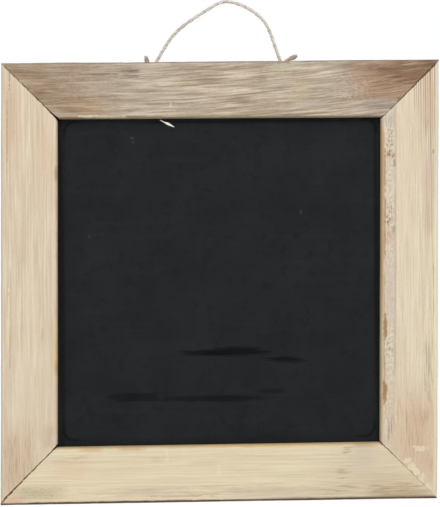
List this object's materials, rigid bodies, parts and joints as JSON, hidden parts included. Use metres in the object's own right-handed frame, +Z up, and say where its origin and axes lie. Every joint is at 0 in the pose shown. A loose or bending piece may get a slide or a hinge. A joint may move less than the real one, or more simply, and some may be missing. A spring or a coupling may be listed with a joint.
{
  "type": "hanging writing board",
  "caption": "Square blackboard panel in a mitred wooden frame, with a twine loop at the top to hang it by.",
  "frame": {"origin": "middle of the bottom edge, halfway through the frame's depth", "axes": "+X to the right seen from the front, +Y from the writing face to the back, +Z up towards the twine loop"},
  "size_m": [0.28, 0.0219, 0.3223],
  "materials": {
    "top_rail_wood": "weathered raw softwood, grey-brown",
    "bottom_rail_wood": "raw softwood, pale straw",
    "left_stile_wood": "raw softwood, pale tan",
    "right_stile_wood": "raw softwood, pale tan",
    "blackboard_panel": "matte blackboard paint on hardboard",
    "nail_steel": "bright sheet steel",
    "staple_wire": "galvanised wire",
    "jute_twine": "twisted jute"
  },
  "bodies": {
    "board": {"top_rail": "top_rail_wood", "bottom_rail": "bottom_rail_wood", "left_stile": "left_stile_wood", "right_stile": "right_stile_wood", "writing_panel": "blackboard_panel", "corner_v_nails_top_left": "nail_steel", "corner_v_nails_top_right": "nail_steel", "corner_v_nails_bottom_left": "nail_steel", "corner_v_nails_bottom_right": "nail_steel", "panel_points_top": "nail_steel", "panel_points_bottom": "nail_steel", "panel_points_left": "nail_steel", "panel_points_right": "nail_steel", "left_staple": "staple_wire", "right_staple": "staple_wire", "twine_end_left": "jute_twine", "twine_end_right": "jute_twine"},
    "hanging_loop": {"twine_loop": "jute_twine"}
  },
  "joints": [
    {"name": "loop_swing", "type": "hinge", "parent": "board", "child": "hanging_loop", "pos_m": [0, 0.0123, 0.274], "axis": [-1, 0, 0], "range_deg": [0, 175]}
  ]
}
